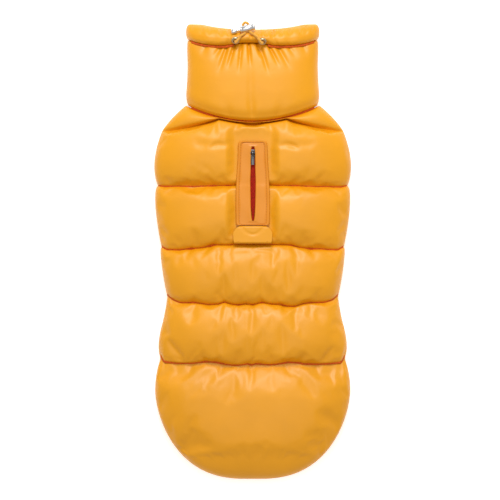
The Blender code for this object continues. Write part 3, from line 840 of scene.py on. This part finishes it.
def make_tape_and_coil(tape):
    # The tape's deep red is painted shade for the shadow inside the slit.
    piece = strip("zip_tape_woven", ((0.1045, 0.0074), (0.0290, 0.0074)), *TAPE_OFFSETS, 40, 8)
    finish_piece(piece, tape, "coat", "zip_tape", "zip_tape")
    points, faces = [], []
    turns, sides, steps = 62, 6, 10
    ys = np.linspace(0.0930, 0.0310, turns * steps)
    for i, y in enumerate(ys):
        angle = 2.0 * math.pi * i / steps
        rise = -0.0003 + 0.0006 * math.sin(angle)
        center = np.array(on_level(0.0013 * math.cos(angle) + ZIP_X, y, rise))
        outward = np.array((math.cos(angle), 0.0, math.sin(angle)))
        for k in range(sides):
            turn = 2.0 * math.pi * k / sides
            spoke = outward * math.cos(turn) + np.array((0.0, math.sin(turn), 0.0))
            points.append(center + 0.00027 * spoke)
    faces = grid_faces(len(ys), sides, wrap_columns=True)
    faces += [tuple(range(sides - 1, -1, -1)), tuple(range(len(points) - sides, len(points)))]
    finish_piece(mesh_piece("zip_coil", points, faces), tape, "coat", "zip_tape", "zip_chain")


def lathe(name, profile, start, axis, sides=32, ridges=0, depth=0.0):
    """Turned shape: profile of (distance along the axis, radius), with optional knurling."""
    axis = Vector(axis).normalized()
    turn = Vector((0.0, 0.0, 1.0)).rotation_difference(axis).to_matrix()
    points = []
    for along, radius in profile:
        for i in range(sides):
            angle = 2.0 * math.pi * i / sides
            ridge = depth * math.cos(ridges * angle) if ridges and radius > 0.0024 else 0.0
            reach = radius + ridge
            spot = Vector((reach * math.cos(angle), reach * math.sin(angle), along))
            points.append(Vector(start) + turn @ spot)
    faces = grid_faces(len(profile), sides, wrap_columns=True)
    faces += [tuple(range(sides - 1, -1, -1)), tuple(range(len(points) - sides, len(points)))]
    return mesh_piece(name, points, faces, 35.0)


def rounded_box(name, low, high, radius):
    bm = bmesh.new()
    bmesh.ops.create_cube(bm, size=1.0)
    size = Vector(high) - Vector(low)
    bmesh.ops.scale(bm, vec=size, verts=bm.verts[:])
    bmesh.ops.translate(bm, vec=Vector(low) + 0.5 * size, verts=bm.verts[:])
    bmesh.ops.bevel(bm, geom=bm.edges[:], offset=radius, segments=3, affect="EDGES", profile=0.5)
    piece = object_from(bm, name)
    piece.data.shade_smooth()
    piece.data.set_sharp_from_angle(angle=math.radians(40))
    return piece


PULL_AXIS = Vector((0.0, 0.0975, 0.03727))


def make_slider(dark):
    base = PULL_AXIS.z - 0.0044
    low, high = (-0.0022, 0.0934, base), (0.0022, 0.1010, base + 0.0026)
    body = rounded_box("slider_body", low, high, 0.0007)
    for side in (-1.0, 1.0):
        low_x, high_x = sorted((side * 0.0015, side * 0.0023))
        low = (low_x, PULL_AXIS.y - 0.0009, base + 0.0020)
        high = (high_x, PULL_AXIS.y + 0.0009, PULL_AXIS.z + 0.0008)
        boolean(body, rounded_box("ear", low, high, 0.0003), "UNION")
    pin = [(0.0, 0.0004), (0.0036, 0.0004)]
    start = PULL_AXIS - Vector((0.0018, 0.0, 0.0))
    boolean(body, lathe("pin", pin, start, (1.0, 0.0, 0.0), 16), "UNION")
    finish_piece(body, dark, "coat", "gunmetal", "zip_slider")


def make_pull_tab(dark):
    axis = PULL_AXIS
    eye = [(0.0, 0.0009), (0.0002, 0.0010), (0.0020, 0.0010), (0.0022, 0.0009)]
    tab = lathe("pull_tab", eye, axis - Vector((0.0011, 0.0, 0.0)), (1.0, 0.0, 0.0), 24)
    low_z = axis.z - 0.0009
    low, high = (-0.0010, axis.y - 0.0046, low_z), (0.0010, axis.y - 0.0004, axis.z)
    neck = rounded_box("neck", low, high, 0.0003)
    low, high = (-0.0017, axis.y - 0.0120, low_z), (0.0017, axis.y - 0.0042, axis.z)
    blade = rounded_box("blade", low, high, 0.0004)
    low = (-0.0010, axis.y - 0.0112, axis.z - 0.0002)
    high = (0.0010, axis.y - 0.0054, axis.z + 0.0003)
    panel = rounded_box("panel", low, high, 0.0001)
    boolean(tab, neck, "UNION")
    boolean(tab, blade, "UNION")
    boolean(tab, panel)
    hole = [(0.0, 0.0007), (0.006, 0.0007)]
    boolean(tab, lathe("bore", hole, axis - Vector((0.003, 0.0, 0.0)), (1.0, 0.0, 0.0), 20))
    finish_piece(tab, dark, "zip_pull", "gunmetal", "zip_pull_tab")


# ---- collar ----

COLLAR_ROWS = ((0.00, 0.0640, 0.0285), (0.04, 0.0660, 0.0330), (0.14, 0.0668, 0.0368),
               (0.35, 0.0657, 0.0372), (0.60, 0.0651, 0.0358), (0.80, 0.0656, 0.0335),
               (0.94, 0.0656, 0.0305), (1.00, 0.0643, 0.0280))
CASING_ROWS = ((0.00, 0.0648, 0.0300), (0.06, 0.0660, 0.0338), (0.20, 0.0666, 0.0356),
               (0.42, 0.0669, 0.0356), (0.62, 0.0667, 0.0342), (0.80, 0.0660, 0.0318),
               (0.92, 0.0650, 0.0290), (1.00, 0.0634, 0.0256))
EYELETS = ((-0.0171, 0.2092), (0.0096, 0.2083))

# Gathers that fan out below the eyelets and pleats in the mouth's edge, in millimetres.
GATHERS = (
    # x, y, to_x, to_y, width, depth
    (-24, 209, -36, 172, 2.2, 1.5),
    (-17.5, 208, -26, 178, 1.7, 1.7),
    (-11, 208, -14.5, 172, 1.6, 1.3),
    (-4.5, 211, -2, 180, 1.5, 1.9),
    (3.5, 209, 9.5, 190, 1.3, 2.6),
    (7, 206, 17, 172, 1.8, 1.4),
    (14.5, 208, 28, 180, 1.7, 1.7),
    (22, 209, 40, 176, 2.4, 1.3),
    (-30, 206, -42, 188, 2.8, 1),
    (34, 206, 46, 190, 2.8, 0.8),
    (-46, 206, -52, 192, 3, 0.6),
    (50, 206, 55, 192, 3, 0.6),
    (0, 134, -2, 160, 5, 0.6),
    (-22, 132, -30, 156, 6, 0.6),
    (24, 132, 32, 156, 6, 0.6),
)
PLEATS = (
    # x, y, to_x, to_y, width, depth
    (-61.5, 228, -60, 216, 1.6, 1.2),
    (-52, 227, -50, 214, 1.7, 1.5),
    (-43, 225, -44, 213, 1.5, 0.9),
    (-33, 224, -31, 211, 1.8, 1.5),
    (-25, 223, -22, 211, 1.5, 1.7),
    (-17, 222.5, -17, 212, 1.5, 1.4),
    (-9, 222, -12, 210, 1.4, 1.6),
    (-1, 222, -2, 206, 1.5, 1.7),
    (6, 222, 8, 211, 1.4, 1.5),
    (14, 222.5, 13, 210, 1.5, 1.6),
    (21.5, 223, 19, 209, 1.6, 1.8),
    (30, 224, 27, 210, 1.6, 1.3),
    (38, 225, 37, 212, 1.8, 1.5),
    (47, 226, 49, 213, 1.6, 1.1),
    (54, 227, 52, 214, 1.7, 1.6),
    (61, 228, 60, 216, 1.6, 1.1),
)


def smooth_table(table, key, column):
    """Reading of a table with its corners rounded, so that no ring shows as a step."""
    fine = np.linspace(0.0, 1.0, 201)
    level = table_at(table, fine, column)
    window = np.exp(-0.5 * (np.arange(-20, 21) / 9.0) ** 2)
    rounded = np.convolve(np.pad(level, 20, mode="edge"), window / window.sum(), mode="valid")
    ends = smooth_step(np.minimum(fine, 1.0 - fine) / 0.10)
    return float(np.interp(key, fine, level + (rounded - level) * ends))


def casing_low(x):
    """Lower edge of the casing: two lobes that rise to the gathered middle and to the sides."""
    across = np.minimum(np.abs(x) / NECK_HALF_WIDTH, 1.0)
    return 0.2040 + 0.0080 * across**5 + 0.0030 * np.exp(-(((x + 0.0025) / 0.019) ** 4))


def casing_top(x):
    across = np.minimum(np.abs(x) / NECK_HALF_WIDTH, 1.0)
    return 0.2210 + 0.0065 * across**2


def collar_roof(half, top_z, x):
    return RIM_Z + (top_z - RIM_Z) * roof(x / half, COLLAR_POWER)


def tube_ring(half, top_z, low, high, along, shares, creases):
    """One ring of the collar: rounded above, level below, its sides tucked under."""
    x = half * shares
    y = low(x) + (high(x) - low(x)) * along
    top = collar_roof(half, top_z, x) - creases(x, y) * roof(shares, COLLAR_POWER)
    share = np.clip((np.abs(x) - (half - UNDERTUCK)) / UNDERTUCK, 0.0, 1.0)
    under = RIM_Z * (1.0 - np.sqrt(1.0 - share * share))
    over = np.stack([x, y, top], axis=1)
    below = np.stack([x, y, under], axis=1)[1:-1][::-1]
    return np.concatenate([over, below])


def mouth_ring(ring, columns, low, high, along):
    """The opening inside the collar, point for point with a ring of its outside."""
    x = np.clip(ring[:, 0] / 0.0640, -1.0, 1.0) * 0.0500
    y = low(ring[:, 0]) + (high(ring[:, 0]) - low(ring[:, 0])) * along
    reach = 0.0028 * np.minimum(1.0, 12.0 * (1.0 - np.abs(x) / 0.0500))
    upper = np.arange(len(ring)) < columns
    return np.stack([x, y, 0.0120 + np.where(upper, reach, -reach)], axis=1)


def band(name, table, low, high, rows, creases):
    """Padded tube between two curves across the collar, with the opening inside it."""
    shares = even_shares(133, 0.36, COLLAR_POWER)
    columns = len(shares)
    spread = 0.5 * (1.0 - np.cos(np.linspace(0.0, math.pi, rows)))
    alongs = 0.6 * spread + 0.4 * np.linspace(0.0, 1.0, rows)
    outer = []
    for along in alongs:
        half = smooth_table(table, along, 1)
        top_z = smooth_table(table, along, 2)
        outer.append(tube_ring(half, top_z, low, high, along, shares, creases))
    inner = [mouth_ring(outer[i], columns, low, high, alongs[i]) for i in range(rows - 1, -1, -3)]
    points = np.concatenate(outer + inner)
    faces = grid_faces(rows + len(inner), len(outer[0]), wrap_rows=True, wrap_columns=True)
    return mesh_piece(name, points, faces, 70.0)


def collar_creases(x, y):
    ripple = 0.00035 * np.sin(310.0 * x + 2.0 * np.sin(60.0 * y)) * smooth_step((y - 0.190) / 0.014)
    centre = 0.0007 * np.exp(-(((x + 0.0020) / 0.0035) ** 2)) * smooth_step((0.196 - y) / 0.03)
    return 2.0 * troughs(x, y, GATHERS) + ripple + centre


def casing_creases(x, y):
    ripple = 0.00030 * np.sin(420.0 * x + 1.5 * np.sin(200.0 * y))
    middle = np.exp(-(((x + 0.004) / 0.020) ** 4)) * smooth_step((0.2125 - y) / 0.006)
    return 2.0 * troughs(x, y, PLEATS) + ripple + 0.0022 * middle + troughs(x, y, GATHERS)


def make_collar(cloth):
    def start(x):
        return neckline(x) + 0.0002

    piece = band("collar_tube", COLLAR_ROWS, start, casing_low, 60, collar_creases)
    subdivide(piece)
    finish_piece(piece, cloth, "coat", "shell_nylon", "collar")


def make_casing(cloth):
    def start(x):
        return casing_low(x) + 0.0003

    piece = band("gathered_casing", CASING_ROWS, start, casing_top, 26, casing_creases)
    subdivide(piece)
    finish_piece(piece, cloth, "coat", "shell_nylon", "collar_casing")


def casing_height(x, y):
    low, high = float(casing_low(x)), float(casing_top(x))
    along = (y - low) / (high - low)
    half = float(table_at(CASING_ROWS, along, 1))
    top_z = float(table_at(CASING_ROWS, along, 2))
    return float(collar_roof(half, top_z, np.array([x]))[0])


def eyelet_seat(x, y):
    slope = (casing_height(x, y + 0.003) - casing_height(x, y - 0.003)) / 0.006
    normal = Vector((0.0, -slope, 1.0)).normalized()
    return Vector((x, y, casing_height(x, y))) + 0.0002 * normal, normal


def make_eyelets(brass):
    profile = ((0.0021, -0.0008), (0.0021, 0.0004), (0.0024, 0.0010), (0.0030, 0.0012),
               (0.0037, 0.0010), (0.0042, 0.0004), (0.0042, -0.0004))
    sides = 36
    for number, (x, y) in enumerate(EYELETS):
        place, normal = eyelet_seat(x, y)
        turn = Vector((0.0, 0.0, 1.0)).rotation_difference(normal).to_matrix()
        points = []
        for radius, rise in profile:
            for i in range(sides):
                angle = 2.0 * math.pi * i / sides
                spot = Vector((radius * math.cos(angle), radius * math.sin(angle), rise))
                points.append(place + turn @ spot)
        faces = grid_faces(len(profile), sides, wrap_rows=True, wrap_columns=True)
        name = ("eyelet_left", "eyelet_right")[number]
        finish_piece(mesh_piece("brass_" + name, points, faces), brass, "coat", "eyelet_brass", name)


# ---- cord lock and drawcord ----

LOCK_CENTRE = Vector((-0.0053, 0.2217, 0.0345))
LOCK_TURN = math.radians(13.3)
LOCK_AXIS = Vector((math.cos(LOCK_TURN), math.sin(LOCK_TURN), 0.0))
CORD_LEFT, CORD_RIGHT = -0.0037, 0.0017


def lock_point(along, across=0.0, rise=0.0):
    side = Vector((-LOCK_AXIS.y, LOCK_AXIS.x, 0.0))
    return LOCK_CENTRE + LOCK_AXIS * along + side * across + Vector((0.0, 0.0, rise))


def make_cord_lock(steel):
    profile = ((0.0, 0.0026), (0.0002, 0.0030), (0.0007, 0.0033), (0.0016, 0.0033),
               (0.0019, 0.0031),
               (0.0022, 0.0033), (0.0128, 0.0033), (0.0131, 0.0031), (0.0134, 0.0033),
               (0.0144, 0.0033), (0.0150, 0.0029), (0.0152, 0.0022))
    barrel = lathe("barrel", profile, lock_point(-0.0076), LOCK_AXIS, 40)
    way = rounded_box("way", (-0.0042, -0.0070, -0.00165), (0.0042, 0.0070, 0.00165), 0.0006)
    way.data.transform(Matrix.Translation(lock_point(-0.0010)) @ Matrix.Rotation(LOCK_TURN, 4, "Z"))
    boolean(barrel, way)
    hole = [(0.0, 0.0015), (0.0041, 0.0015)]
    boolean(barrel, lathe("bore", hole, lock_point(-0.0096), LOCK_AXIS, 24))
    finish_piece(barrel, steel, "coat", "polished_steel", "cord_lock_barrel")
    knob = ((0.0, 0.0018), (0.0003, 0.0023), (0.0008, 0.0026), (0.0046, 0.0026), (0.0051, 0.0023),
            (0.0055, 0.0012), (0.0091, 0.0012))
    plunger = lathe("plunger", knob, lock_point(-0.0164), LOCK_AXIS, 60, 15, 0.00006)
    finish_piece(plunger, steel, "lock_plunger", "polished_steel", "cord_lock_plunger")


def cord_route():
    (left, left_up), (right, right_up) = [eyelet_seat(x, y) for x, y in EYELETS]
    z = LOCK_CENTRE.z
    knots = [
        left - 0.0030 * left_up,
        left + 0.0014 * left_up,
        left + 0.0034 * left_up + Vector((0.0008, 0.0008, 0.0)),
        Vector((left.x + 0.0052, left.y + 0.0046, z + 0.0026)),
        lock_point(CORD_LEFT, -0.0045),
        lock_point(CORD_LEFT, 0.0),
        lock_point(CORD_LEFT, 0.0036),
        lock_point(0.5 * (CORD_LEFT + CORD_RIGHT), 0.0058),
        lock_point(CORD_RIGHT, 0.0036),
        lock_point(CORD_RIGHT, 0.0),
        lock_point(CORD_RIGHT, -0.0045),
        Vector((right.x - 0.0060, right.y + 0.0052, z + 0.0026)),
        right + 0.0034 * right_up + Vector((-0.0008, 0.0008, 0.0)),
        right + 0.0014 * right_up,
        right - 0.0030 * right_up,
    ]
    padded_knots = [knots[0] * 2.0 - knots[1]] + knots + [knots[-1] * 2.0 - knots[-2]]
    route = []
    for a, b, c, d in zip(padded_knots, padded_knots[1:], padded_knots[2:], padded_knots[3:]):
        for step in range(10):
            t = step / 10
            square = 2.0 * a - 5.0 * b + 4.0 * c - d
            cube = 3.0 * b - a - 3.0 * c + d
            route.append(0.5 * (2.0 * b + (c - a) * t + square * t * t + cube * t**3))
    return route + [knots[-1]]


def make_drawcord(yarn):
    """Round braided cord: strands cross as a shallow relief of diamonds."""
    route = cord_route()
    sides = 16
    points = []
    length = 0.0
    for i, place in enumerate(route):
        ahead = route[min(i + 1, len(route) - 1)] - route[max(i - 1, 0)]
        side = ahead.cross(Vector((0.0, 0.3, 1.0))).normalized()
        up = side.cross(ahead).normalized()
        if i:
            length += (place - route[i - 1]).length
        for k in range(sides):
            angle = 2.0 * math.pi * k / sides
            left_strand = math.cos(4.0 * angle + 2600.0 * length)
            braid = left_strand * math.cos(4.0 * angle - 2600.0 * length)
            radius = 0.00125 + 0.00009 * braid
            points.append(place + (side * math.cos(angle) + up * math.sin(angle)) * radius)
    faces = grid_faces(len(route), sides, wrap_columns=True)
    faces += [tuple(range(sides - 1, -1, -1)), tuple(range(len(points) - sides, len(points)))]
    piece = mesh_piece("braided_drawcord", points, faces)
    finish_piece(piece, yarn, "coat", "drawcord", "drawcord")


# ---- belly panel ----


def leg_hole(side, grow):
    points = []
    for i in range(48):
        angle = 2.0 * math.pi * i / 48
        u, v = (0.0170 + grow) * math.cos(angle), (0.0270 + grow) * math.sin(angle)
        turn = -side * math.radians(12)
        x = side * 0.0450 + u * math.cos(turn) - v * math.sin(turn)
        points.append((x, 0.0800 + u * math.sin(turn) + v * math.cos(turn)))
    return points


def make_belly_panel(cloth):
    piece = prism("belly_cloth", belly_outline(-0.0003, 0.0), 0.0, BELLY_TOP)
    for side in (-1.0, 1.0):
        boolean(piece, prism("leg", leg_hole(side, 0.0), -0.002, 0.02))
    bevel = piece.modifiers.new("turned_edge", "BEVEL")
    bevel.width = 0.0016
    bevel.segments = 4
    bevel.limit_method = "ANGLE"
    bevel.angle_limit = math.radians(50)
    apply_modifiers(piece)
    piece.data.shade_smooth()
    piece.data.set_sharp_from_angle(angle=math.radians(40))
    finish_piece(piece, cloth, "coat", "belly_nylon", "belly_panel")


def make_belly_stitches(yarn):
    """Stitching round both leg holes, laid in the belly's underside."""
    ends = []
    for side in (-1.0, 1.0):
        ring = [(x, y, 0.0002) for x, y in leg_hole(side, 0.0034)]
        ends += stitch_run(ring + ring[:1], 0.0034, 0.0022)
    finish_piece(capsules("leg_hole_stitches", ends, 0.00024), yarn, "coat", "belly_nylon")


def make_painted_seam_shade(name, yarn, lines, radius, lift):
    """Thin red-orange rolls along each line: a stand-in for the reddened shadow of its fold."""
    points, faces = [], []
    sides = 6
    for row in lines:
        first = len(points)
        for x, y, z in row:
            for k in range(sides):
                turn = 2.0 * math.pi * k / sides
                rise = lift + 0.8 * radius * math.sin(turn)
                points.append((x, y + radius * math.cos(turn), z + rise))
        faces += grid_faces(len(row), sides, wrap_columns=True, start=first)
        faces.append(tuple(range(first + sides - 1, first - 1, -1)))
        faces.append(tuple(range(len(points) - sides, len(points))))
    finish_piece(mesh_piece(name, points, faces), yarn, "coat", "shell_nylon")


def edge_lines():
    """Courses for the painted shade in the folds under the casing's lobes and along the collar's
    lower edge.
    """
    lines = []
    for ends in ((-0.0615, -0.0190), (0.0150, 0.0615)):
        x = np.linspace(*ends, 40)
        lines.append(np.stack([x, casing_low(x) - 0.0008, collar_roof(0.0645, 0.0285, x)], axis=1))
    x = np.linspace(-0.0615, 0.0615, 90)
    lines.append(np.stack([x, neckline(x) - 0.0003, collar_roof(0.0650, 0.0262, x) - 0.0010], axis=1))
    return lines


def cut_zip_pocket(panel):
    table = ((0.1050, 0.0078), (0.0285, 0.0078))
    boolean(panel, strip("pocket", table, -0.0024, 0.0100, 20, 4))


def main():
    cloth = nylon("shell_nylon", ORANGE)
    panel = make_back_panel(cloth)
    make_belly_panel(nylon("belly_nylon", shade(ORANGE, 0.92)))
    make_collar(cloth)
    make_casing(cloth)
    make_zip_frame(nylon("frame_nylon", FRAME_ORANGE, 0.44))
    make_zip_patch(cloth)
    yarn = thread("seam_yarn", SEAM_THREAD)
    make_zip_stitches(yarn)
    make_belly_stitches(yarn)
    # Painted shade: the zip's tape and coil take a deep red that stands for the shadow inside the
    # slit; the tape itself is orange.
    make_tape_and_coil(thread("painted_shade_zip_tape", (0.55, 0.024, 0.008), sheen=0.0))
    dark = metal("gunmetal", (0.16, 0.15, 0.15), 0.32, 0.3)
    make_slider(dark)
    make_pull_tab(dark)
    make_eyelets(metal("aged_brass", (0.62, 0.50, 0.30), 0.30, 0.25))
    make_cord_lock(metal("polished_steel", (0.80, 0.80, 0.80), 0.22, 0.12))
    make_drawcord(thread("drawcord_yarn", (0.80, 0.38, 0.05)))
    return panel


def make_stage():
    bpy.ops.mesh.primitive_plane_add(size=12.0, location=(0.0, 0.0, -0.0002))
    floor = bpy.context.object
    floor.name = "pale_floor"
    nodes = Nodes("pale_floor")
    tone = nodes.ramp(nodes.noise(3.0), (0.3, (0.93, 0.93, 0.93)), (0.7, (0.95, 0.95, 0.95)))
    nodes.link(tone, nodes.shader.inputs["Base Color"])
    floor.data.materials.append(nodes.set(Roughness=0.9, Emission_Strength=0.50))
    nodes.link(tone, nodes.shader.inputs["Emission Color"])


def area_light(name, place, target, size, power, color=(1.0, 1.0, 1.0)):
    data = bpy.data.lights.new(name, "AREA")
    data.shape = "DISK"
    data.size = size
    data.energy = power
    data.color = color
    light = bpy.data.objects.new(name, data)
    light.location = place
    light.rotation_euler = (Vector(target) - Vector(place)).to_track_quat("-Z", "Y").to_euler()
    bpy.context.collection.objects.link(light)


def make_lights():
    area_light("key_from_collar_side", (0.0, 1.15, 1.25), (0.0, 0.0, 0.0), 0.7, 19.0)
    area_light("top_fill", (0.0, -0.1, 1.9), (0.0, 0.0, 0.0), 1.6, 8.0)
    world = bpy.data.worlds.new("soft_room")
    world.use_nodes = True
    world.node_tree.nodes["Background"].inputs["Color"].default_value = (1.0, 1.0, 1.0, 1.0)
    world.node_tree.nodes["Background"].inputs["Strength"].default_value = 0.50
    bpy.context.scene.world = world
    bpy.context.scene.view_settings.view_transform = "Standard"
    bpy.context.scene.view_settings.look = "None"


def make_camera():
    """Straight above, from far away, framing half a metre at the height of the coat's rim."""
    height, span, sensor = 3.0, 0.5, 36.0
    data = bpy.data.cameras.new("camera")
    data.sensor_width = sensor
    data.lens = sensor * (height - 0.016) / span
    data.clip_end = 50.0
    camera = bpy.data.objects.new("camera", data)
    camera.location = (-0.0027, 0.0010, height)
    bpy.context.collection.objects.link(camera)
    bpy.context.scene.camera = camera


make_camera()
make_stage()
make_lights()
main()
